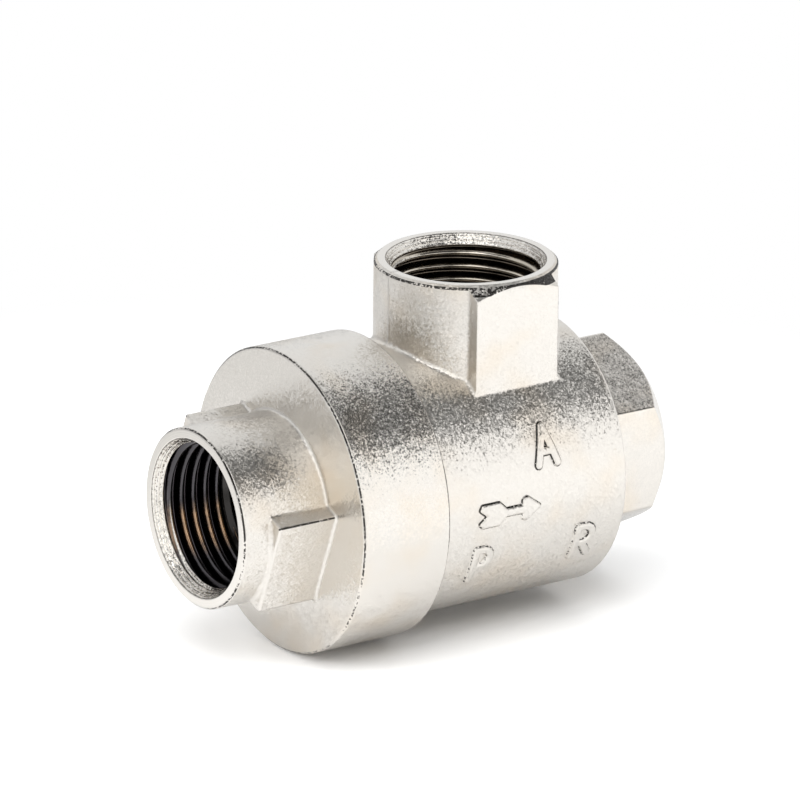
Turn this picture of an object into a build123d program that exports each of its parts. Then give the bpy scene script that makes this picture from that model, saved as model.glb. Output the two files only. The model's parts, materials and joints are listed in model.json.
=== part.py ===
from build123d import *

import os
from math import cos, hypot, radians, sqrt, tan

# An inline quick exhaust valve with three G 1/2 ports, in millimetres.
# The origin is the centre of the inlet port's face. +X is the main axis, from the inlet to the exhaust port,
# and +Z points out of the cylinder port on top.

# Port threads, G 1/2: the threaded stretch is bored at the major size, where the roots of the thread lie,
# and the hole goes on at the tapping size, where its crests lie
thread_major_d = 20.955
thread_minor_d = 18.631
port_r = thread_major_d / 2
port_drill_r = thread_minor_d / 2
port_mouth_r = port_r + 0.1
port_thread_length = 10.0
port_depth = 12.5
thread_run_out = port_r - port_drill_r

# Outside of the cover and body, from the inlet face to the exhaust face
neck_length = 12.8
cover_length = 13.3
barrel_length = 29.0
hex_length = 10.8
neck_r = 11.9
cover_r = 20.2
barrel_r = 18.15
neck_root_fillet = 0.45
wrench_af = 24.0
edge_break = 0.3
hex_edge_fillet = 0.35
hex_root_fillet = 0.5
hex_face_r = 11.6
hex_cone = 45.0

x_flange = neck_length
x_seam = x_flange + cover_length
x_barrel_end = x_seam + barrel_length
x_end = x_barrel_end + hex_length

# Wrench lugs on the cover's neck, which stopped at this turn when the cover was screwed home
cover_lug_turn = 21.5
cover_lug_width = 13.9
cover_lug_length = 8.65
cover_lug_af = wrench_af + 0.3
cover_lug_fillet = 0.4
cover_lug_end_fillet = 0.3
cover_lug_foot_fillet = 0.6

# Cylinder port boss on top of the barrel
boss_x = 41.6
boss_r = wrench_af / 2
boss_top = 28.05
boss_face_r = 11.5
boss_lug_width = 12.7
boss_lug_fillet = 0.35
boss_lug_foot_fillet = 0.6
boss_foot_fillet = 0.7
barrel_rim_fillet = 0.45
corner_cone = 40.0

# Joint between cover and body, a screwed one with a flat gasket
spigot_r = 17.0
spigot_length = 8.0
screw_gap = 0.05
screw_relief_width = 1.6
screw_relief_r = 16.1
screw_lead = 0.8
gasket_thickness = 1.5
gasket_inner_r = 14.6
x_spigot = x_seam - spigot_length
x_cup_floor = x_spigot - gasket_thickness

# Flow passages, the chamber round the exhaust nozzle and the two seats
passage_r = 7.75
chamber_r = 14.2
x_chamber_end = 51.8
nozzle_r = 10.3
seat_r = 9.4
seat_round = 0.35
x_inlet_seat = 19.0
port_floor_cone = port_drill_r - passage_r

# Shuttle: it slides from the inlet seat to the exhaust seat
shuttle_travel = 3.5
face_gap = 0.05
seal_thickness = 3.6
seal_rim_r = 12.3
lip_reach = 3.4
lip_tip_r = chamber_r - 0.07
lip_tip_width = 0.8
lip_root_inner_r = 11.0
lip_belly = 0.35
lip_hollow = 1.1
stem_r = 2.5
stem_gap = 0.02
head_r = 6.6
head_thickness = 1.75
wing_count = 4
wing_thickness = 1.6
wing_length = 4.9
wing_r = passage_r - 0.1
washer_thickness = 1.0
nut_af = 8.0
nut_height = 4.2
nut_collar_height = 0.9
nut_collar_r = nut_af / 2 - 0.2
nut_shoulder = 0.6
nut_corner_cone = 30.0
stem_end_stand = 1.0

x_seal_front = x_inlet_seat + face_gap
x_seal_back = x_seal_front + seal_thickness
x_exhaust_seat = x_seal_back + shuttle_travel + face_gap
x_head_front = x_seal_front - head_thickness
x_washer_back = x_seal_back + washer_thickness
x_nut_back = x_washer_back + nut_height

# How far a block reaches into what it is joined to, or past what it is cut by
overlap = 1.0


def hexagon_corner(across_flats):
    """Radius of the corners of a hexagon."""
    return across_flats / 2 / cos(radians(30))


def radius_about(edge, axis_plane):
    """How far the middle of an edge is from the axis that a plane stands on."""
    middle = axis_plane.to_local_coords(edge @ 0.5)
    return hypot(middle.X, middle.Y)


# Wrench lugs of the cover: one block through the neck, which stands out of it on both sides
with BuildPart() as cover_lugs:
    lug_plane = Plane(origin=(x_flange - cover_lug_length, 0, 0), x_dir=(0, 1, 0), z_dir=(1, 0, 0))
    with BuildSketch(lug_plane) as cover_lug_outline:
        Rectangle(cover_lug_af, cover_lug_width, rotation=cover_lug_turn)
        fillet(cover_lug_outline.vertices(), radius=cover_lug_fillet)
    extrude(amount=cover_lug_length + overlap)
    fillet(cover_lugs.faces().sort_by(Axis.X)[0].edges(), radius=cover_lug_end_fillet)

# Inlet cover: a cup with the inlet port in its neck. Its skirt screws over the body's spigot
with BuildPart() as inlet_cover:
    with BuildSketch(Plane.XZ):
        with BuildLine():
            Polyline(
                (0, 0),
                (0, neck_r - edge_break),
                (edge_break, neck_r),
                (x_flange, neck_r),
                (x_flange, cover_r - edge_break),
                (x_flange + edge_break, cover_r),
                (x_seam - edge_break, cover_r),
                (x_seam, cover_r - edge_break),
                (x_seam, 0),
                close=True,
            )
        make_face()
    revolve(axis=Axis.X)
    add(cover_lugs.part)
    lug_feet = inlet_cover.edges().filter_by(Axis.X).filter_by(
        lambda e: abs(radius_about(e, Plane.YZ) - neck_r) < 0.01 and e.length < cover_lug_length
    )
    fillet(lug_feet, radius=cover_lug_foot_fillet)
    flange_side = inlet_cover.edges().filter_by_position(Axis.X, x_flange - 0.01, x_flange + 0.01)
    root = flange_side.filter_by(lambda e: radius_about(e, Plane.YZ) < cover_lug_af / 2 + overlap)
    fillet(root, radius=neck_root_fillet)
    # Inlet port, passage, seat ring and the threaded inside of the skirt
    with BuildSketch(Plane.XZ):
        with BuildLine():
            Polyline(
                (0, 0),
                (0, port_mouth_r),
                (port_mouth_r - port_r, port_r),
                (port_thread_length, port_r),
                (port_thread_length + thread_run_out, port_drill_r),
                (port_depth, port_drill_r),
                (port_depth + port_floor_cone, passage_r),
                (x_inlet_seat, passage_r),
                (x_inlet_seat, seat_r),
                (x_cup_floor, seat_r),
                (x_cup_floor, spigot_r + screw_gap),
                (x_seam - screw_lead, spigot_r + screw_gap),
                (x_seam, spigot_r + screw_gap + screw_lead),
                (x_seam, 0),
                close=True,
            )
        make_face()
    revolve(axis=Axis.X, mode=Mode.SUBTRACT)
    seat_edges = inlet_cover.edges().filter_by(GeomType.CIRCLE).filter_by(
        lambda e: abs(e.center().X - x_inlet_seat) < 0.01
    )
    fillet(seat_edges, radius=seat_round)

# Exhaust end: a hexagon with flats to the sides, its far corners turned off by a cone
hex_corner = hexagon_corner(wrench_af)
with BuildPart() as exhaust_hex:
    with BuildSketch(Plane.YZ.offset(x_barrel_end - overlap)) as hex_outline:
        RegularPolygon(radius=hex_corner, side_count=6, rotation=90)
        fillet(hex_outline.vertices(), radius=hex_edge_fillet)
    extrude(amount=hex_length + overlap)
    with BuildSketch(Plane.XZ):
        with BuildLine():
            Polyline(
                (x_barrel_end - 2 * overlap, 0),
                (x_barrel_end - 2 * overlap, hex_corner),
                (x_end - (hex_corner - hex_face_r) * tan(radians(hex_cone)), hex_corner),
                (x_end, hex_face_r),
                (x_end, 0),
                close=True,
            )
        make_face()
    revolve(axis=Axis.X, mode=Mode.INTERSECT)

# Cylinder port's boss: round, with a wrench lug on either side, and all of it turned off by one cone on top
boss_plane = Plane(origin=(boss_x, 0, 0))
boss_corner_r = hypot(boss_r, boss_lug_width / 2)
boss_cone_drop = (boss_corner_r - boss_face_r) * tan(radians(corner_cone))
with BuildPart() as cylinder_boss:
    with BuildSketch(boss_plane) as boss_outline:
        Circle(boss_r)
        Rectangle(boss_lug_width, wrench_af)
        lug_sides = boss_outline.edges().filter_by(Axis.Y)
        lug_corners = lug_sides.vertices().filter_by(lambda v: abs(v.Y) > boss_r - 0.01)
        lug_feet = lug_sides.vertices().filter_by(lambda v: abs(v.Y) < boss_r - 0.01)
        fillet(lug_feet, radius=boss_lug_foot_fillet)
        fillet(lug_corners, radius=boss_lug_fillet)
    extrude(amount=boss_top)
    with BuildSketch(Plane.XZ):
        with BuildLine():
            Polyline(
                (boss_x, -overlap),
                (boss_x + boss_corner_r, -overlap),
                (boss_x + boss_corner_r, boss_top - boss_cone_drop),
                (boss_x + boss_face_r, boss_top),
                (boss_x, boss_top),
                close=True,
            )
        make_face()
    revolve(axis=Axis((boss_x, 0, 0), (0, 0, 1)), mode=Mode.INTERSECT)

# Valve body: barrel with the screwed spigot, the cylinder port's boss and the exhaust hexagon, cast in one
with BuildPart() as valve_body:
    with BuildSketch(Plane.XZ):
        with BuildLine():
            Polyline(
                (x_spigot, 0),
                (x_spigot, spigot_r - screw_lead),
                (x_spigot + screw_lead, spigot_r),
                (x_seam - screw_relief_width, spigot_r),
                (x_seam - screw_relief_width, screw_relief_r),
                (x_seam, screw_relief_r),
                (x_seam, barrel_r),
                (x_barrel_end, barrel_r),
                (x_barrel_end, 0),
                close=True,
            )
        make_face()
    revolve(axis=Axis.X)
    rim = valve_body.edges().filter_by(GeomType.CIRCLE).filter_by(
        lambda e: abs(e.center().X - x_barrel_end) < 0.01
    )
    fillet(rim, radius=barrel_rim_fillet)
    add(cylinder_boss.part)
    foot = valve_body.edges().filter_by(
        lambda e: abs(radius_about(e, Plane.YZ) - barrel_r) < 0.01
        and radius_about(e, boss_plane) < boss_corner_r
        and abs((e @ 0.5).Y) > overlap
    )
    fillet(foot, radius=boss_foot_fillet)
    add(exhaust_hex.part)
    hex_root = valve_body.edges().filter_by_position(Axis.X, x_barrel_end - 0.01, x_barrel_end + 0.01)
    fillet(hex_root.filter_by(lambda e: radius_about(e, Plane.YZ) < hex_corner), radius=hex_root_fillet)
    # Chamber with the exhaust nozzle standing in it, exhaust passage and exhaust port
    with BuildSketch(Plane.XZ) as inside:
        with BuildLine():
            Polyline(
                (x_spigot, 0),
                (x_spigot, chamber_r + edge_break),
                (x_spigot + edge_break, chamber_r),
                (x_chamber_end, chamber_r),
                (x_chamber_end, nozzle_r),
                (x_exhaust_seat, nozzle_r),
                (x_exhaust_seat, passage_r),
                (x_end - port_depth - port_floor_cone, passage_r),
                (x_end - port_depth, port_drill_r),
                (x_end - port_thread_length - thread_run_out, port_drill_r),
                (x_end - port_thread_length, port_r),
                (x_end - port_mouth_r + port_r, port_r),
                (x_end, port_mouth_r),
                (x_end, 0),
                close=True,
            )
        make_face()
        core_corners = inside.vertices().filter_by(lambda v: abs(v.X - x_chamber_end) < 0.01)
        chamfer(core_corners, length=edge_break)
        seat_corners = inside.vertices().filter_by(lambda v: abs(v.X - x_exhaust_seat) < 0.01)
        fillet(seat_corners, radius=seat_round)
    revolve(axis=Axis.X, mode=Mode.SUBTRACT)
    # Cylinder port, down through the barrel's wall into the chamber and no deeper than the hole's sides need
    drill_floor = sqrt(chamber_r**2 - port_drill_r**2)
    with BuildSketch(Plane.XZ):
        with BuildLine():
            Polyline(
                (boss_x, drill_floor),
                (boss_x + port_drill_r, drill_floor),
                (boss_x + port_drill_r, boss_top - port_thread_length - thread_run_out),
                (boss_x + port_r, boss_top - port_thread_length),
                (boss_x + port_r, boss_top - port_mouth_r + port_r),
                (boss_x + port_mouth_r, boss_top),
                (boss_x, boss_top),
                close=True,
            )
        make_face()
    revolve(axis=Axis((boss_x, 0, 0), (0, 0, 1)), mode=Mode.SUBTRACT)

# Flat gasket, clamped between the spigot's end and the floor of the cup
with BuildPart() as cover_gasket:
    with BuildSketch(Plane.YZ.offset(x_cup_floor)):
        Circle(spigot_r - screw_lead)
        Circle(gasket_inner_r, mode=Mode.SUBTRACT)
    extrude(amount=gasket_thickness)

# Poppet core: a turned head and stem, with guide wings that run in the inlet passage
with BuildPart() as poppet_core:
    with BuildSketch(Plane.YZ.offset(x_head_front - wing_length)):
        with PolarLocations(0, wing_count):
            Rectangle(wing_r * 2, wing_thickness, align=(Align.CENTER, Align.CENTER))
        Circle(stem_r)
        Circle(wing_r, mode=Mode.INTERSECT)
    extrude(amount=wing_length)
    with BuildSketch(Plane.XZ):
        with BuildLine():
            Polyline(
                (x_head_front - edge_break, 0),
                (x_head_front, head_r - edge_break),
                (x_head_front + edge_break, head_r),
                (x_seal_front, head_r),
                (x_seal_front, stem_r),
                (x_nut_back + stem_end_stand - edge_break, stem_r),
                (x_nut_back + stem_end_stand, stem_r - edge_break),
                (x_nut_back + stem_end_stand, 0),
                close=True,
            )
        make_face()
    revolve(axis=Axis.X)

# Lip seal: a rubber disc that closes either seat, with a lip that trails along the chamber's wall
with BuildPart() as lip_seal:
    with BuildSketch(Plane.XZ) as lip_section:
        with BuildLine():
            rim_start = (x_seal_front + edge_break, seal_rim_r)
            lip_tip = (x_seal_back + lip_reach, lip_tip_r)
            lip_inside = (x_seal_back + lip_reach, lip_tip_r - lip_tip_width)
            lip_root = (x_seal_back, lip_root_inner_r)
            Line((x_seal_front, stem_r + stem_gap), (x_seal_front, seal_rim_r - edge_break))
            Line((x_seal_front, seal_rim_r - edge_break), rim_start)
            Spline(rim_start, (x_seal_front + seal_thickness * 0.6, seal_rim_r + lip_belly), lip_tip)
            Line(lip_tip, lip_inside)
            Spline(lip_inside, (x_seal_back + lip_reach * 0.35, lip_root_inner_r + lip_hollow), lip_root)
            Polyline(lip_root, (x_seal_back, stem_r + stem_gap), (x_seal_front, stem_r + stem_gap))
        make_face()
    revolve(axis=Axis.X)

# Plain washer behind the rubber
with BuildPart() as retaining_washer:
    with BuildSketch(Plane.YZ.offset(x_seal_back)):
        Circle(head_r)
        Circle(stem_r + stem_gap, mode=Mode.SUBTRACT)
    extrude(amount=washer_thickness)
    chamfer(
        retaining_washer.faces().sort_by(Axis.X)[-1].edges().sort_by(SortBy.RADIUS)[-1],
        length=edge_break,
    )

# Self-locking nut: a hexagon with turned corners and a round collar
nut_corner = hexagon_corner(nut_af)
with BuildPart() as lock_nut:
    with BuildSketch(Plane.YZ.offset(x_washer_back)):
        RegularPolygon(radius=nut_corner, side_count=6)
    extrude(amount=nut_height)
    with BuildSketch(Plane.XZ):
        with BuildLine():
            Polyline(
                (x_washer_back, stem_r + stem_gap),
                (x_washer_back, nut_af / 2),
                (x_washer_back + (nut_corner - nut_af / 2) * tan(radians(nut_corner_cone)), nut_corner),
                (x_nut_back - nut_collar_height - nut_shoulder, nut_corner),
                (x_nut_back - nut_collar_height, nut_collar_r),
                (x_nut_back - edge_break, nut_collar_r),
                (x_nut_back, nut_collar_r - edge_break),
                (x_nut_back, stem_r + stem_gap),
                close=True,
            )
        make_face()
    revolve(axis=Axis.X, mode=Mode.INTERSECT)

pieces = {
    "inlet_cover": inlet_cover,
    "valve_body": valve_body,
    "cover_gasket": cover_gasket,
    "poppet_core": poppet_core,
    "lip_seal": lip_seal,
    "retaining_washer": retaining_washer,
    "lock_nut": lock_nut,
}
os.makedirs("parts", exist_ok=True)
for name, piece in pieces.items():
    piece.part.label = name
    export_step(piece.part, f"parts/{name}.step")
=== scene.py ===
import json
from math import ceil, cos, pi, radians, sin, sqrt, tan

import bmesh
import bpy
from mathutils import Matrix, Vector


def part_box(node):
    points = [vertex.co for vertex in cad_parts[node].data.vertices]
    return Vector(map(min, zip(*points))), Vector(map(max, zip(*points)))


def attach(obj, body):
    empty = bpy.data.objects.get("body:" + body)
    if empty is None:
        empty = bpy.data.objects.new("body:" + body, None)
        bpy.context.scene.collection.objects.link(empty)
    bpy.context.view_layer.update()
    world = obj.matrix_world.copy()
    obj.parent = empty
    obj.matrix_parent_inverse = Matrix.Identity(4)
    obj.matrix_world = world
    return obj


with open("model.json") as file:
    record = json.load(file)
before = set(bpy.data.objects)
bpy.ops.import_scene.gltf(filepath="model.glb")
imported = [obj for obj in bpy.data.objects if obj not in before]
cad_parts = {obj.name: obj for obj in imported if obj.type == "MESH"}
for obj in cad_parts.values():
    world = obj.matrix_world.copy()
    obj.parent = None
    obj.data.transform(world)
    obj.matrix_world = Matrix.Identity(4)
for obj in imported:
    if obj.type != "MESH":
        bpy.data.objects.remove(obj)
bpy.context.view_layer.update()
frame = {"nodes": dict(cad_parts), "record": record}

# Places and sizes of the valve, in metres: some read from the imported model, the rest given
MM = 0.001
mounts = {mount["name"]: mount for mount in frame["record"]["mounts"]}
body_low, body_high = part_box("valve_body")
cover_low, cover_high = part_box("inlet_cover")
boss_x = mounts["cylinder_port"]["pos_m"][0]
boss_top = body_high.z
hex_face = body_high.x
barrel_r = body_high.y
cover_r = cover_high.z
port_root_r = mounts["inlet_port"]["dims"]["r_mm"] * MM
neck_r = 11.9 * MM
flange_x = 12.8 * MM
lug_x = 4.15 * MM
lug_turn = radians(21.5)
lug_half_af = 12.15 * MM
lug_half_width = 6.95 * MM
boss_r = 12 * MM
barrel_end_x = 55.2 * MM

# Port thread, G 1/2
thread_pitch = 1.814 * MM
thread_crest_r = 9.32 * MM
thread_mouth_r = port_root_r + 0.06 * MM
thread_length = 10.9 * MM
mouth_slope = 0.6
thread_start = 1.4 * MM
thread_skin = 0.02 * MM
thread_back = 0.25 * MM

# Raised letters and arrow on the barrel
mark_height = 0.42 * MM

# Turned ends of the castings: the radius where each end's cone starts, and the cone's slope
hex_cone_r = 11.6 * MM
hex_cone_slope = tan(radians(45))
boss_cone_r = 11.5 * MM
boss_cone_slope = tan(radians(40))


class Value:
    """A socket that takes part in sums written in Python. Each sum adds a Math node to its tree."""

    def __init__(self, tree, socket):
        self.tree = tree
        self.socket = socket

    def math(self, operation, *others):
        node = self.tree.nodes.new("ShaderNodeMath")
        node.operation = operation
        for socket, other in zip(node.inputs, (self, *others)):
            if isinstance(other, Value):
                self.tree.links.new(other.socket, socket)
            else:
                socket.default_value = other
        return Value(self.tree, node.outputs[0])

    def __add__(self, other):
        return self.math("ADD", other)

    def __sub__(self, other):
        return self.math("SUBTRACT", other)

    def __rsub__(self, other):
        return self.math("MULTIPLY", -1.0).math("ADD", other)

    def __mul__(self, other):
        return self.math("MULTIPLY", other)

    def __truediv__(self, other):
        return self.math("DIVIDE", other)

    def __pow__(self, other):
        return self.math("POWER", other)

    def __gt__(self, other):
        return self.math("GREATER_THAN", other)

    def __lt__(self, other):
        return self.math("LESS_THAN", other)

    __radd__ = __add__
    __rmul__ = __mul__

    def floor(self, other):
        """The larger of the two values."""
        return self.math("MAXIMUM", other)

    def ceiling(self, other):
        """The smaller of the two values."""
        return self.math("MINIMUM", other)

    def size(self):
        return self.math("ABSOLUTE")


class Tree:
    """A node tree that grows by one call for each node."""

    def __init__(self, tree):
        self.tree = tree

    def node(self, kind, settings=None, inputs=None):
        """Adds a node: first its settings, a ramp's stops among them, then the values or links of its inputs."""
        made = self.tree.nodes.new(kind)
        for name, setting in (settings or {}).items():
            if name == "stops":
                for place, colour in setting[len(made.color_ramp.elements):]:
                    made.color_ramp.elements.new(place)
                for element, (place, colour) in zip(made.color_ramp.elements, setting):
                    element.position = place
                    element.color = (*colour, 1)
            else:
                setattr(made, name, setting)
        for name, given in (inputs or {}).items():
            socket = made.inputs[name]
            if isinstance(given, Value):
                self.tree.links.new(given.socket, socket)
            elif isinstance(given, bpy.types.NodeSocket):
                self.tree.links.new(given, socket)
            else:
                socket.default_value = given
        return made

    def value(self, node, output=0):
        return Value(self.tree, node.outputs[output])


class Finish(Tree):
    """The node tree of one material, with the surface's own coordinates at hand."""

    def __init__(self, name):
        self.material = bpy.data.materials.new(name)
        self.material.use_nodes = True
        super().__init__(self.material.node_tree)
        self.tree.nodes.clear()
        self.place = self.node("ShaderNodeTexCoord").outputs["Object"]
        split = self.node("ShaderNodeSeparateXYZ", inputs={"Vector": self.place})
        self.x, self.y, self.z = (self.value(split, axis) for axis in "XYZ")

    def noise(self, grain, detail=2.0, roughness=0.5, stretch=None, distortion=0.0):
        """Soft random spots about as large as grain, in metres, from 0 to 1."""
        place = self.place
        if stretch:
            place = self.node("ShaderNodeMapping", inputs={"Vector": place, "Scale": stretch}).outputs[0]
        inputs = {
            "Vector": place,
            "Scale": 1 / grain,
            "Detail": detail,
            "Roughness": roughness,
            "Distortion": distortion,
        }
        return self.value(self.node("ShaderNodeTexNoise", inputs=inputs))

    def step(self, value, low, high):
        """Rises smoothly from 0 to 1 as the value goes from low to high."""
        settings = {"interpolation_type": "SMOOTHSTEP"}
        inputs = {"Value": value, "From Min": low, "From Max": high}
        return self.value(self.node("ShaderNodeMapRange", settings, inputs))

    def blend(self, share, first, second):
        """Mixes two colours by share."""
        node = self.node("ShaderNodeMix", {"data_type": "RGBA"}, {0: share})
        for socket, colour in ((node.inputs[6], first), (node.inputs[7], second)):
            if isinstance(colour, bpy.types.NodeSocket):
                self.tree.links.new(colour, socket)
            else:
                socket.default_value = (*colour, 1)
        return node.outputs[2]

    def relief(self, height, depth, normal=None):
        """Raises the surface by height times depth."""
        inputs = {"Height": height, "Distance": depth}
        if normal:
            inputs["Normal"] = normal
        return self.node("ShaderNodeBump", inputs=inputs).outputs[0]

    def rings(self, radius, grain):
        """Fine turned rings, from 0 to 1, that change only with the radius."""
        place = self.node("ShaderNodeCombineXYZ", inputs={"X": radius})
        inputs = {"Vector": place.outputs[0], "Scale": 1 / grain, "Detail": 2.0}
        return self.value(self.node("ShaderNodeTexNoise", inputs=inputs))

    def rounded_edges(self, radius):
        return self.node("ShaderNodeBevel", {"samples": 6}, {"Radius": radius}).outputs[0]

    def facets(self, size, tilt, normal):
        """Breaks the surface into tiny facets, each turned its own way by up to half the tilt."""
        cells = self.node("ShaderNodeTexVoronoi", inputs={"Vector": self.place, "Scale": 1 / size})
        turn = self.node("ShaderNodeVectorMath", {"operation": "SUBTRACT"}, {0: cells.outputs["Color"], 1: (0.5, 0.5, 0.5)})
        turn = self.node("ShaderNodeVectorMath", {"operation": "SCALE"}, {0: turn.outputs[0], "Scale": tilt})
        turned = self.node("ShaderNodeVectorMath", {"operation": "ADD"}, {0: normal, 1: turn.outputs[0]})
        return self.node("ShaderNodeVectorMath", {"operation": "NORMALIZE"}, {0: turned.outputs[0]}).outputs[0]

    def surface(self, **inputs):
        """Ends the tree in a Principled shader. Names come as base_color for Base Color."""
        named = {name.replace("_", " ").title(): given for name, given in inputs.items()}
        shader = self.node("ShaderNodeBsdfPrincipled", inputs=named)
        self.node("ShaderNodeOutputMaterial", inputs={"Surface": shader.outputs[0]})
        return self.material


def distance(first, second):
    """Length of the vector that has these two values."""
    return (first * first + second * second) ** 0.5


# Finishes
nickel_pale = (0.735, 0.705, 0.66)
nickel_warm = (0.73, 0.665, 0.58)
nickel_shade = (0.58, 0.53, 0.46)
# Near black for the painted dark reflection on the rims and painted shade on the marks' walls
edge_painted_dark = (0.06, 0.056, 0.052)
# Near black for the bores: dirt and thin plating, and painted shade
bore_dirt_and_shade = (0.045, 0.042, 0.04)
# The inlet thread's colours, darker copies that paint the shade deep in its bore
inlet_thread_shaded_black = (0.06, 0.055, 0.06)
inlet_thread_shaded_grey = (0.075, 0.072, 0.076)
# A brass tint for the painted glint low on the inlet thread's far side
inlet_brass_glint = (0.42, 0.28, 0.18)
thread_olive = (0.17, 0.145, 0.115)
thread_champagne = (0.58, 0.53, 0.45)


def blasted_nickel(name, blast, turned_faces, bores, lathe, rims, seam=None):
    """Nickel over a bead-blasted casting. Each argument after the name is a function of the finish: blast gives
    how rough the blast left it, turned_faces and bores give 1 where it was turned outside and inside, the bores
    painted near black for dirt and painted shade, lathe gives the radius of the turning, and rims gives 1 on the
    sharp rims, where a broken dark line of painted reflection goes, more of it towards the top."""
    finish = Finish(name)
    inside = bores(finish)
    turned = turned_faces(finish).floor(inside)
    cast = 1 - turned
    pits = finish.step(finish.noise(0.9 * MM, detail=3.0), 0.68, 0.80)
    waves = finish.noise(2.5 * MM, detail=2.0)
    patches = finish.noise(9 * MM, detail=2.0)
    tinted = finish.step(patches, 0.45, 0.75)
    colour = finish.blend(tinted * cast, nickel_pale, nickel_warm)
    colour = finish.blend(pits * cast * 0.5, colour, nickel_shade)
    # Where the rims take a broken painted dark reflection: random stretches, more of them towards the top
    painted_rim_dark = finish.noise(0.35 * MM, detail=3.0) * 0.6 + finish.noise(6 * MM, detail=1.0) * 0.4
    painted_rim_dark = painted_rim_dark + finish.step(finish.z, -6 * MM, 2 * MM) * 0.07 - 0.04
    colour = finish.blend(rims(finish) * finish.step(painted_rim_dark, 0.44, 0.50), colour, edge_painted_dark)
    # The insides of the bores go near black, part dirt and thin plating, part painted shade
    colour = finish.blend(inside, colour, bore_dirt_and_shade)
    normal = finish.rounded_edges(0.25 * MM)
    normal = finish.relief(waves * cast, 0.06 * MM, normal)
    normal = finish.relief(finish.rings(lathe(finish), 0.16 * MM) * turned, 0.035 * MM, normal)
    if seam:
        normal = finish.relief(seam(finish), 0.10 * MM, normal)
    peened = cast * blast(finish)
    normal = finish.facets(0.22 * MM, peened * 0.17 + 0.02, normal)
    normal = finish.facets(0.13 * MM, peened * 0.15 + 0.02, normal)
    return finish.surface(
        base_color=colour,
        metallic=1.0,
        roughness=peened * 0.13 + 0.14,
        normal=normal,
    )


def main_radius(finish):
    return distance(finish.y, finish.z)


def boss_radius(finish):
    return distance(finish.x - boss_x, finish.y)


def body_lathe(finish):
    """The radius about the boss's axis on the boss, and about the main axis elsewhere."""
    on_boss = finish.z > barrel_r
    return boss_radius(finish) * on_boss + main_radius(finish) * (1 - on_boss)


def cover_faces(finish):
    """The neck's end face."""
    return finish.x < 0.35 * MM


def cover_bore(finish):
    """The inside of the inlet port."""
    return (main_radius(finish) < port_root_r + 0.3 * MM) * (finish.x > 0.05 * MM)


def body_faces(finish):
    """The boss's top, and the hexagon's end with its cone."""
    hex_cone = (main_radius(finish) - hex_cone_r) * hex_cone_slope + finish.x
    hexagon = (hex_cone > hex_face - 0.03 * MM) * (finish.x > hex_face - 5 * MM)
    return hexagon.floor(finish.z > boss_top - 0.03 * MM)


def body_bores(finish):
    """The insides of the exhaust and cylinder ports."""
    main = (main_radius(finish) < port_root_r + 0.3 * MM) * (finish.x < hex_face - 0.05 * MM)
    boss = (boss_radius(finish) < port_root_r + 0.3 * MM) * (finish.z < boss_top - 0.05 * MM)
    return main.floor(boss * (finish.z > 0))


def rim_line(across, along):
    """1 on a thin line round a broken edge: across and along are how far back from the corner the surface lies."""
    return ((across - along).size() < 0.18 * MM) * (across < 0.36 * MM) * (along < 0.36 * MM)


def cover_rims(finish):
    """The neck's end rim and both rims of the cover."""
    radius = main_radius(finish)
    neck = rim_line(neck_r - radius, finish.x)
    front = rim_line(cover_r - radius, finish.x - flange_x)
    back = (finish.x > cover_high.x - 0.33 * MM) * (radius > cover_r - 0.33 * MM)
    out = (finish.y * cos(lug_turn) + finish.z * sin(lug_turn)).size()
    side = (finish.z * cos(lug_turn) - finish.y * sin(lug_turn)).size()
    lug = rim_line(lug_half_af - out, lug_half_width - side) * (finish.x > lug_x) * (finish.x < flange_x - 0.3 * MM)
    return neck.floor(front).floor(back).floor(lug)


def body_rims(finish):
    """The edge between the boss's side and the cone of its top."""
    radius = boss_radius(finish)
    cone = (radius - boss_cone_r) * boss_cone_slope + finish.z - boss_top
    return (cone.size() < 0.16 * MM) * (radius > boss_r - 0.2 * MM) * (finish.z > boss_top - 1.2 * MM)


def mark_walls(finish):
    """The steep sides of the raised marks, which take the same broken dark line as the rims, here as painted shade.
    """
    rise = main_radius(finish) - barrel_r
    return (rise > 0.02 * MM) * (rise < mark_height * 0.5)


def cover_blast(finish):
    """Rougher on the neck than on the cover's skirt."""
    return (finish.x < flange_x) * 0.3 + 1


def body_blast(finish):
    """Rough on the barrel and the boss, roughest on the boss's cone, and fine on the hexagon."""
    return 1.3 - (finish.x > barrel_end_x) * 0.95 + (finish.z > boss_top - 0.9 * MM) * 0.7


def body_parting(finish):
    """A faint casting line where the two halves of the mould met, down the boss's side."""
    line = 1 - finish.step(finish.y.size(), 0.05 * MM, 0.28 * MM)
    return line * (finish.z > barrel_r) * (finish.x < boss_x)


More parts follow.
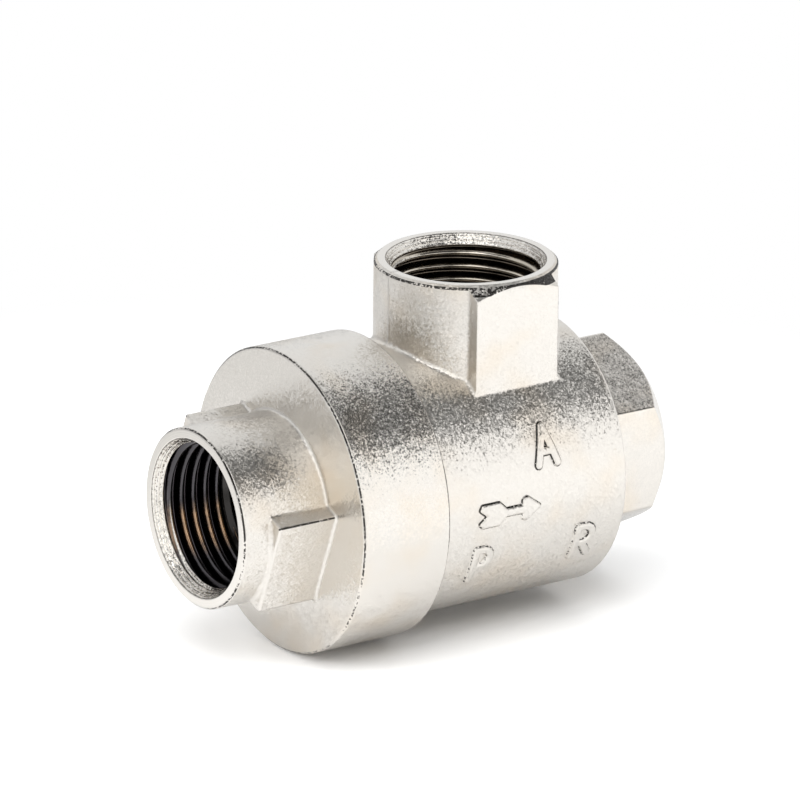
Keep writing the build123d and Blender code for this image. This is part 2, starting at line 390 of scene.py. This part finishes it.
def thread_nickel(name, root_colour, crest_colour, stain_and_glint_colour, depth, radius, tinted):
    """A port's thread: dark with oil and thin plating in the roots, brighter where the crests are rubbed, and bright
    with the rings of the tool on the countersink. The inlet's thread takes darker copies of the colours, which paint
    the shade deep in its bore. depth, radius and the last argument are functions of the finish; the last gives where
    the
    crests take the third colour: oily patches in some ports, a brass-tinted painted glint low on the inlet's far
    side."""
    finish = Finish(name)
    deep, out = depth(finish), radius(finish)
    cone = 1 - finish.step(out + deep * mouth_slope - thread_mouth_r, 0.04 * MM, 0.14 * MM)
    crest = 1 - finish.step(out, thread_crest_r + 0.10 * MM, thread_crest_r + 0.70 * MM)
    smears = finish.noise(1.5 * MM, detail=2.0)
    # The crests take the third colour where the last argument gives 1: oily patches in the other ports, a
    # brass-tinted painted glint in the inlet
    stain_and_glint = tinted(finish) * crest * finish.step(smears, 0.2, 0.6)
    colour = finish.blend(crest * 0.8, root_colour, crest_colour)
    colour = finish.blend(stain_and_glint, colour, stain_and_glint_colour)
    turning = finish.rings(out, 0.14 * MM)
    scored = finish.blend(finish.step(turning, 0.50, 0.62) * 0.7, nickel_pale, nickel_shade)
    colour = finish.blend(cone, colour, scored)
    normal = finish.relief(turning * cone, 0.12 * MM)
    normal = finish.facets(0.16 * MM, cone * 0.38 + 0.05, normal)
    return finish.surface(
        base_color=colour,
        metallic=1.0,
        roughness=smears * 0.1 + 0.12,
        normal=normal,
    )


def lower_far_side_glint(finish):
    """1 low on the inlet's far side, where the crests take a brass-tinted painted glint."""
    low = finish.step(finish.z, -1 * MM, -3.5 * MM)
    lowest = 1 - finish.step(finish.z, -6 * MM, -8 * MM)
    return low * lowest * (finish.y > 0)


def oily_patches(finish):
    return finish.step(finish.noise(4 * MM, detail=2.0), 0.45, 0.62)


def moulded_rubber(name, colour):
    finish = Finish(name)
    bloom = finish.step(finish.noise(3 * MM, detail=3.0), 0.5, 0.9)
    return finish.surface(
        base_color=finish.blend(bloom, colour, tuple(shade + 0.02 for shade in colour)),
        roughness=bloom * 0.15 + 0.5,
        normal=finish.relief(finish.noise(0.15 * MM), 0.01 * MM),
    )


def turned_metal(name, colour, dull):
    """Metal turned about the main axis, with fine tool marks round it."""
    finish = Finish(name)
    marks = finish.noise(0.12 * MM, stretch=(1, 0.05, 0.05))
    tarnish = finish.step(finish.noise(2 * MM, detail=3.0), 0.45, 0.8)
    return finish.surface(
        base_color=finish.blend(tarnish * 0.6, colour, dull),
        metallic=1.0,
        roughness=marks * 0.12 + 0.16,
        normal=finish.relief(marks, 0.01 * MM, finish.rounded_edges(0.1 * MM)),
    )


def pressed_fibre(name):
    finish = Finish(name)
    fibres = finish.noise(0.3 * MM, detail=4.0)
    return finish.surface(
        base_color=finish.blend(fibres, (0.12, 0.18, 0.13), (0.22, 0.28, 0.21)),
        roughness=fibres * 0.2 + 0.7,
        normal=finish.relief(fibres, 0.02 * MM),
    )


cover_finish = blasted_nickel("nickel_plated_cover", cover_blast, cover_faces, cover_bore, main_radius, cover_rims)
body_finish = blasted_nickel(
    "nickel_plated_body", body_blast, body_faces, body_bores, body_lathe, body_rims, body_parting,
)
marks_finish = blasted_nickel(
    "nickel_plated_marks", body_blast, body_faces, body_bores, body_lathe, mark_walls,
)
thread_finishes = {
    # The inlet's darker thread colours paint the shade in its bore, and its low far side takes a painted glint
    "inlet_port": thread_nickel(
        "inlet_port_thread_finish", inlet_thread_shaded_black, inlet_thread_shaded_grey, inlet_brass_glint,
        lambda at: at.x - cover_low.x, main_radius, lower_far_side_glint,
    ),
    "exhaust_port": thread_nickel(
        "exhaust_port_thread_finish", thread_olive, thread_champagne, nickel_warm,
        lambda at: hex_face - at.x, main_radius, oily_patches,
    ),
    "cylinder_port": thread_nickel(
        "cylinder_port_thread_finish", thread_olive, thread_champagne, nickel_warm,
        lambda at: boss_top - at.z, boss_radius, oily_patches,
    ),
}
zinc_finish = turned_metal("zinc_plated_steel", (0.72, 0.73, 0.74), (0.60, 0.60, 0.58))
node_finishes = {
    "inlet_cover": cover_finish,
    "valve_body": body_finish,
    "cover_gasket": pressed_fibre("gasket_fibre"),
    "poppet_core": turned_metal("turned_brass", (0.82, 0.64, 0.34), (0.62, 0.45, 0.22)),
    "lip_seal": moulded_rubber("nitrile_rubber", (0.018, 0.018, 0.018)),
    "retaining_washer": zinc_finish,
    "lock_nut": zinc_finish,
}
for name, finish in node_finishes.items():
    mesh = frame["nodes"][name].data
    mesh.materials.clear()
    mesh.materials.append(finish)


# Port threads
def thread_tree():
    """Geometry nodes for a cut right-hand thread: a sleeve whose rows follow the helix, cut back by the mouth's
    countersink. It stands on its mouth, with +Z out of the port, and its back lies in the port's wall."""
    group = bpy.data.node_groups.new("Port thread", "GeometryNodeTree")
    sizes = (
        "Pitch", "Root Radius", "Crest Radius", "Mouth Radius", "Mouth Slope", "Back Radius", "Start", "Length",
    )
    for name in sizes:
        group.interface.new_socket(name, in_out="INPUT", socket_type="NodeSocketFloat")
    for name in ("Around", "Rows", "Rows per Turn"):
        group.interface.new_socket(name, in_out="INPUT", socket_type="NodeSocketInt")
    group.interface.new_socket("Material", in_out="INPUT", socket_type="NodeSocketMaterial")
    group.interface.new_socket("Geometry", in_out="OUTPUT", socket_type="NodeSocketGeometry")
    tree = Tree(group)
    given = tree.node("NodeGroupInput")
    size = {socket.name: Value(group, socket) for socket in given.outputs if socket.name}
    pitch, root, crest = size["Pitch"], size["Root Radius"], size["Crest Radius"]
    mouth, back, length = size["Mouth Radius"], size["Back Radius"], size["Length"]
    inputs = {"Size X": 1.0, "Size Y": 1.0, "Vertices X": size["Around"] + 1, "Vertices Y": size["Rows"]}
    grid = tree.node("GeometryNodeMeshGrid", inputs=inputs)
    split = tree.node("ShaderNodeSeparateXYZ", inputs={0: tree.node("GeometryNodeInputPosition").outputs[0]})
    turn = tree.value(split, "X") + 0.5
    last = size["Rows"] - 1
    row = (tree.value(split, "Y") + 0.5) * last
    depth = ((row - 1) / size["Rows per Turn"] + turn - 1) * pitch
    depth = depth.floor(0.0).ceiling(length) * (row < last - 0.5)
    phase = (depth / pitch - turn) * (2 * pi)
    groove = 0.5 - phase.math("COSINE") * 0.5
    cone = mouth - depth * size["Mouth Slope"]
    cut = (root - (root - crest) * groove).floor(cone)
    begun = ((depth - size["Start"]) / (pitch * 0.2)).floor(0.0).ceiling(1.0)
    radius = cone + (cut - cone) * begun
    behind = (row < 0.5).floor(row > last - 1.5)
    radius = radius + (back - radius) * behind
    angle = turn * (-2 * pi)
    along = {"X": radius * angle.math("COSINE"), "Y": radius * angle.math("SINE"), "Z": depth * -1.0}
    place = tree.node("ShaderNodeCombineXYZ", inputs=along)
    moved = tree.node("GeometryNodeSetPosition", inputs={"Geometry": grid.outputs[0], "Position": place.outputs[0]})
    joined = tree.node("GeometryNodeMergeByDistance", inputs={"Geometry": moved.outputs[0], "Distance": 1e-6})
    smooth = tree.node("GeometryNodeSetShadeSmooth", inputs={0: joined.outputs[0]})
    real = tree.node("GeometryNodeRealizeInstances", inputs={0: smooth.outputs[0]})
    dressed = tree.node("GeometryNodeSetMaterial", inputs={"Geometry": real.outputs[0], "Material": size["Material"]})
    tree.node("NodeGroupOutput", inputs={"Geometry": dressed.outputs[0]})
    return group


def grown(name, group, inputs):
    """The plain mesh object that a geometry tree makes with these inputs."""
    seed = bpy.data.objects.new(name + "_seed", bpy.data.meshes.new(name + "_seed"))
    bpy.context.scene.collection.objects.link(seed)
    modifier = seed.modifiers.new("made", "NODES")
    modifier.node_group = group
    for item in group.interface.items_tree:
        if item.in_out == "INPUT" and item.name in inputs:
            modifier[item.identifier] = inputs[item.name]
    ready = seed.evaluated_get(bpy.context.evaluated_depsgraph_get())
    mesh = bpy.data.meshes.new_from_object(ready)
    bpy.data.objects.remove(seed)
    mesh.name = name
    made = bpy.data.objects.new(name, mesh)
    bpy.context.scene.collection.objects.link(made)
    return made


def face_outwards(mesh):
    """Turns every face of a closed mesh outwards."""
    work = bmesh.new()
    work.from_mesh(mesh)
    bmesh.ops.recalc_face_normals(work, faces=work.faces)
    work.to_mesh(mesh)
    work.free()


def port_thread(name, mount_name):
    """The thread in one port, set in from the port's face."""
    mount = mounts[mount_name]
    axis = Vector(mount["axis"])
    mouth = {
        "inlet_port": Vector((cover_low.x, 0, 0)),
        "exhaust_port": Vector((hex_face, 0, 0)),
        "cylinder_port": Vector((boss_x, 0, boss_top)),
    }[mount_name]
    rows_per_turn = 28
    rows = ceil(rows_per_turn * (thread_length / thread_pitch + 1)) + 4
    inputs = {
        "Pitch": thread_pitch,
        "Root Radius": port_root_r - thread_skin,
        "Crest Radius": thread_crest_r,
        "Mouth Radius": thread_mouth_r,
        "Mouth Slope": mouth_slope,
        "Back Radius": port_root_r + thread_back,
        "Start": thread_start,
        "Length": thread_length,
        "Around": 144,
        "Rows": rows,
        "Rows per Turn": rows_per_turn,
        "Material": thread_finishes[mount_name],
    }
    made = grown(name, port_thread_tree, inputs)
    turn = Vector((0, 0, 1)).rotation_difference(axis).to_matrix().to_4x4()
    made.data.transform(Matrix.Translation(mouth - axis * thread_skin) @ turn)
    face_outwards(made.data)
    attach(made, "housing")
    return made


port_thread_tree = thread_tree()
port_thread("inlet_port_thread", "inlet_port")
port_thread("exhaust_port_thread", "exhaust_port")
port_thread("cylinder_port_thread", "cylinder_port")


# Raised port letters and flow arrow on the barrel's side. Each is drawn flat, in millimetres: across along
# the barrel, and up round it
mark_foot = 0.50
mark_grid = 0.07
mark_root = 0.25 * MM
stroke_half = 0.52
outline_round = 0.25


def arc(centre, radius, start, end, steps=8):
    """Points on an arc, from one angle to another in degrees."""
    angles = [radians(start + (end - start) * step / steps) for step in range(steps + 1)]
    return [(centre[0] + radius * cos(angle), centre[1] + radius * sin(angle)) for angle in angles]


def bowl(width, low, high):
    """The closed half of a letter P or R, from its stem and back."""
    radius = (high - low) / 2
    return [(0, high), *arc((width - radius, low + radius), radius, 90, -90), (0, low)]


letter_height = 4.9
letter_strokes = {
    "A": [[(0, 0), (1.45, letter_height), (2.9, 0)], [(0.5, 1.65), (2.4, 1.65)]],
    "P": [[(0, 0), (0, letter_height)], bowl(2.3, 2.15, letter_height)],
    "R": [[(0, 0), (0, letter_height)], bowl(2.3, 2.25, letter_height), [(1.0, 2.25), (2.5, 0)]],
}
arrow_outline = [
    (0.35, 1.35), (2.85, 1.35), (3.95, 0.32), (6.75, 0.32), (6.75, 1.15), (7.25, 1.35), (9.1, 0.0),
    (7.25, -1.35), (6.75, -1.15), (6.75, -0.32), (3.95, -0.32), (2.95, -1.35), (0.55, -1.35), (0.15, -0.95),
    (1.35, 0.0), (0.15, 0.95),
]


def gap_to_line(point, start, end):
    """Distance from a point to a straight stretch."""
    along = (end[0] - start[0], end[1] - start[1])
    share = ((point[0] - start[0]) * along[0] + (point[1] - start[1]) * along[1]) / (along[0] ** 2 + along[1] ** 2)
    share = min(1, max(0, share))
    return sqrt((point[0] - start[0] - share * along[0]) ** 2 + (point[1] - start[1] - share * along[1]) ** 2)


def gap_to_path(point, path):
    return min(gap_to_line(point, start, end) for start, end in zip(path, path[1:]))


def inside_outline(point, outline):
    """Whether a point lies inside a closed outline."""
    inside = False
    for start, end in zip(outline, outline[1:] + outline[:1]):
        if (start[1] > point[1]) != (end[1] > point[1]):
            crossing = start[0] + (point[1] - start[1]) * (end[0] - start[0]) / (end[1] - start[1])
            inside ^= point[0] < crossing
    return inside


def stroke_rise(strokes):
    """A function that gives how far inside the strokes a point lies."""
    return lambda point: stroke_half - min(gap_to_path(point, path) for path in strokes)


def outline_rise(outline):
    """A function that gives how far inside an outline, with rounded corners, a point lies."""
    closed = outline + outline[:1]
    return lambda point: outline_round + gap_to_path(point, closed) * (1 if inside_outline(point, outline) else -1)


def raised_mark(name, rise, corner, size, place, lean=0.0):
    """A closed pad on the barrel whose top swells up where rise is above zero. place is the corner's X and its
    height round the barrel, in millimetres."""
    work = bmesh.new()
    across, up = (ceil(length / mark_grid) + 1 for length in size)
    tops = {}
    backs = {}
    for column in range(across):
        for line in range(up):
            point = (corner[0] + column * mark_grid, corner[1] + line * mark_grid)
            share = min(1, max(0, rise(point) / mark_foot + 0.5))
            swell = share * share * (3 - 2 * share)
            if swell <= 0:
                continue
            along = point[0] * cos(lean) - point[1] * sin(lean)
            round_it = point[0] * sin(lean) + point[1] * cos(lean)
            angle = (place[1] + round_it) * MM / barrel_r
            spot = Vector((0, -cos(angle), sin(angle)))
            shift = Vector(((place[0] + along) * MM, 0, 0))
            radius = barrel_r - 0.03 * MM + mark_height * swell
            tops[column, line] = work.verts.new(shift + spot * radius)
            backs[column, line] = work.verts.new(shift + spot * (barrel_r - mark_root))
    borders = {}
    for column, line in tops:
        corners = [(column, line), (column + 1, line), (column + 1, line + 1), (column, line + 1)]
        if all(spot in tops for spot in corners):
            work.faces.new([tops[spot] for spot in corners])
            work.faces.new([backs[spot] for spot in reversed(corners)])
            for start, end in zip(corners, corners[1:] + corners[:1]):
                if (end, start) in borders:
                    del borders[end, start]
                else:
                    borders[start, end] = True
    for start, end in borders:
        work.faces.new([tops[end], tops[start], backs[start], backs[end]])
    bmesh.ops.delete(work, geom=[vert for vert in work.verts if not vert.link_faces], context="VERTS")
    bmesh.ops.recalc_face_normals(work, faces=work.faces)
    mesh = bpy.data.meshes.new(name)
    work.to_mesh(mesh)
    work.free()
    mesh.shade_smooth()
    mesh.materials.append(marks_finish)
    made = bpy.data.objects.new(name, mesh)
    bpy.context.scene.collection.objects.link(made)
    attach(made, "housing")
    return made


margin = stroke_half + mark_foot
letter_box = ((-margin, -margin), (2.9 + 2 * margin, letter_height + 2 * margin))
letter_places = {"A": (41.4, 4.8), "P": (32.0, -10.2), "R": (48.0, -10.0)}
for letter, place in letter_places.items():
    raised_mark("letter_" + letter, stroke_rise(letter_strokes[letter]), *letter_box, place)
arrow_box = ((-0.5, -2.0), (10.4, 4.0))
raised_mark("flow_arrow", outline_rise(arrow_outline), *arrow_box, (31.95, -0.45))


# Camera, as in the photograph
camera_azimuth = radians(34.48)
camera_elevation = radians(19.62)
camera_roll = radians(0.856)
camera_distance = 995.6 * MM
picture_width = 800
boss_axis_pixel = (463.0, 461.0)
pixels_per_metre = 7635
sensor = 36.0


def set_camera():
    """Puts the camera where it stood, and aims it so that the boss's axis meets the main axis at its pixel."""
    outward = Vector((
        -sin(camera_azimuth) * cos(camera_elevation),
        -cos(camera_azimuth) * cos(camera_elevation),
        sin(camera_elevation),
    ))
    level = Vector((cos(camera_azimuth), -sin(camera_azimuth), 0))
    upright = outward.cross(level)
    right = level * cos(camera_roll) + upright * sin(camera_roll)
    up = upright * cos(camera_roll) - level * sin(camera_roll)
    centre = Vector((boss_x, 0, 0))
    place = centre + outward * camera_distance
    half = picture_width / 2
    aim = centre + (right * (half - boss_axis_pixel[0]) + up * (boss_axis_pixel[1] - half)) / pixels_per_metre
    back = (place - aim).normalized()
    right = (right - back * right.dot(back)).normalized()
    up = back.cross(right)
    data = bpy.data.cameras.new("camera")
    data.sensor_width = sensor
    data.lens = sensor * pixels_per_metre * camera_distance / picture_width
    data.clip_start = 0.01
    data.clip_end = 20
    camera = bpy.data.objects.new("camera", data)
    camera.matrix_world = Matrix.Translation(place) @ Matrix((right, up, back)).transposed().to_4x4()
    bpy.context.scene.collection.objects.link(camera)
    bpy.context.scene.camera = camera


# Studio: a white table, white walls, dark panels overhead and to the left, and soft lamps
floor_size = 6.0
table_edge = 0.072
shadow_reach = 0.07


def plain_plane(name, width, depth, matrix, material):
    work = bmesh.new()
    bmesh.ops.create_grid(work, x_segments=1, y_segments=1, size=0.5)
    mesh = bpy.data.meshes.new(name)
    work.to_mesh(mesh)
    work.free()
    mesh.transform(matrix @ Matrix.Diagonal((width, depth, 1, 1)))
    mesh.materials.append(material)
    plane = bpy.data.objects.new(name, mesh)
    bpy.context.scene.collection.objects.link(plane)
    return plane


def glowing(name, colour):
    """A material that shines by itself."""
    material = bpy.data.materials.new(name)
    material.use_nodes = True
    tree = Tree(material.node_tree)
    tree.tree.nodes.clear()
    shader = tree.node("ShaderNodeEmission", inputs={"Color": (*colour, 1)})
    tree.node("ShaderNodeOutputMaterial", inputs={"Surface": shader.outputs[0]})
    return material


def white_table():
    """The table's white top, pure white to the camera far from the valve. In reflections it carries painted light:
    painted shade that darkens it, most past the table's edge to the front left and towards the back left, and
    painted pools of light to the front right, towards the lamp card, left of the neck and further to the left."""
    material = bpy.data.materials.new("white_table")
    material.use_nodes = True
    tree = Tree(material.node_tree)
    tree.tree.nodes.clear()
    camera = tree.value(tree.node("ShaderNodeLightPath"))
    place = tree.node("ShaderNodeTexCoord").outputs["Object"]
    split = tree.node("ShaderNodeSeparateXYZ", inputs={"Vector": place})
    x, y = tree.value(split, "X"), tree.value(split, "Y")
    smooth = {"interpolation_type": "SMOOTHSTEP"}

    def rise(value, low, high, before, after):
        """Goes smoothly from one level to another as the value goes from low to high."""
        inputs = {"Value": value, "From Min": low, "From Max": high, "To Min": before, "To Max": after}
        return tree.value(tree.node("ShaderNodeMapRange", smooth, inputs))

    def spot(centre, reach, level):
        """A soft round spot of painted light."""
        return rise(distance(x - centre[0], y - centre[1]), reach * 0.4, reach, level, 0)

    # Painted shade on the table, as reflections see it
    seen = rise(x * -0.75 - y * 0.66, table_edge, table_edge + 0.02, 0.76, 0.42)
    seen = seen * rise(y * 0.82 - x * 0.57, 0.02, 0.10, 1.0, 0.66)
    # Painted pools of light on the table, seen only in reflections
    painted_light_pools = rise(x * 0.57 - y * 0.82, 0.04, 0.20, 0, 0.34) + rise(x, 0.0, 0.03, 0.09, 0)
    painted_light_pools = painted_light_pools + spot((-0.088, 0.014), 0.042, 0.8)
    bare = rise(distance(x - boss_x * 0.6, y), shadow_reach, shadow_reach * 2, 0, 1) * camera
    white = camera * (1 - seen) + seen
    grey = tree.node("ShaderNodeCombineXYZ", inputs={"X": white, "Y": white, "Z": white})
    diffuse = tree.node("ShaderNodeBsdfDiffuse", inputs={"Color": grey.outputs[0]})
    glow = tree.node("ShaderNodeEmission", inputs={"Strength": painted_light_pools * (1 - camera)})
    lit = tree.node("ShaderNodeAddShader", inputs={0: diffuse.outputs[0], 1: glow.outputs[0]})
    far = tree.node("ShaderNodeEmission")
    mixed = tree.node("ShaderNodeMixShader", inputs={0: bare, 1: lit.outputs[0], 2: far.outputs[0]})
    tree.node("ShaderNodeOutputMaterial", inputs={"Surface": mixed.outputs[0]})
    return material


def set_world(fill, seen):
    """White all round: at strength seen to the camera and in reflections, and at strength fill as light."""
    world = bpy.data.worlds.new("studio")
    world.use_nodes = True
    tree = Tree(world.node_tree)
    tree.tree.nodes.clear()
    path = tree.node("ShaderNodeLightPath")
    direct = tree.value(path, "Is Camera Ray").floor(tree.value(path, "Is Glossy Ray"))
    direct = direct.floor(tree.value(path, "Is Transmission Ray"))
    strength = direct * (seen - fill) + fill
    white = tree.node("ShaderNodeBackground", inputs={"Color": (0.98, 0.99, 1, 1), "Strength": strength})
    tree.node("ShaderNodeOutputWorld", inputs={"Surface": white.outputs[0]})
    bpy.context.scene.world = world


def softbox(name, place, target, width, height, power):
    """A soft lamp that metal doesn't mirror."""
    lamp = bpy.data.lights.new(name, "AREA")
    lamp.shape = "RECTANGLE"
    lamp.size = width
    lamp.size_y = height
    lamp.energy = power
    light = bpy.data.objects.new(name, lamp)
    towards = Vector(target) - Vector(place)
    light.matrix_world = Matrix.Translation(place) @ towards.to_track_quat("-Z", "Y").to_matrix().to_4x4()
    light.visible_glossy = False
    bpy.context.scene.collection.objects.link(light)
    return light


def card(name, place, target, width, height, colour):
    """A flat card that only metal sees, mirrored."""
    towards = Vector(target) - Vector(place)
    matrix = Matrix.Translation(place) @ towards.to_track_quat("Z", "Y").to_matrix().to_4x4()
    panel = plain_plane(name, width, height, matrix, glowing(name, colour))
    panel.visible_camera = False
    panel.visible_diffuse = False
    panel.visible_shadow = False
    panel.visible_transmission = False
    return panel


def set_studio():
    middle = Vector((boss_x, 0, 0))
    plain_plane("floor", floor_size, floor_size, Matrix.Translation((0, 0, -cover_r - 0.02 * MM)), white_table())
    down = Vector((0, 0, -1))
    overhead = {
        "overhead_front": ((0.35, -0.64), (1.00, 0.68), 0.05),
        "overhead_back": ((0.24, -0.13), (0.78, 0.34), 0.07),
        "overhead_strip": ((0.24, 0.11), (0.78, 0.14), 0.55),
        "overhead_left": ((-0.27, 0.17), (0.30, 0.46), 0.08),
        "key_front": ((-0.55, -0.52), (0.80, 0.92), 1.8),
    }
    for name, (place, size, level) in overhead.items():
        spot = middle + Vector((*place, 0.75))
        card(name, spot, spot + down, *size, (level, level, level))
    level = 1.35
    lamp = middle + Vector((0.46, -0.73, 0.27))
    card("lamp_front", lamp, middle + Vector((0, 0, 0.27)), 1.1, 0.62, (level, level, level))
    wall = middle + Vector((-0.50, 0.85, 0.30))
    card("back_left_wall", wall, middle + Vector((0, 0, 0.30)), 0.8, 0.60, (0.50, 0.50, 0.51))
    flag = middle + Vector((-0.63, -0.126, 0.48))
    card("left_flag", flag, middle, 0.26, 0.26, (0.06, 0.06, 0.06))
    window = middle + Vector((-0.60, -0.85, 0.30))
    card("camera_window", window, middle + Vector((0, 0, 0.30)), 0.55, 0.60, (1.6, 1.6, 1.55))
    set_world(fill=0.42, seen=1.0)
    softbox("top_softbox", middle + Vector((-0.10, -0.35, 0.85)), middle, 1.2, 1.0, 11.5)
    softbox("left_softbox", middle + Vector((-0.85, 0.25, 0.45)), middle, 0.6, 0.6, 8.0)


set_camera()
set_studio()
bpy.context.scene.view_settings.view_transform = "Standard"
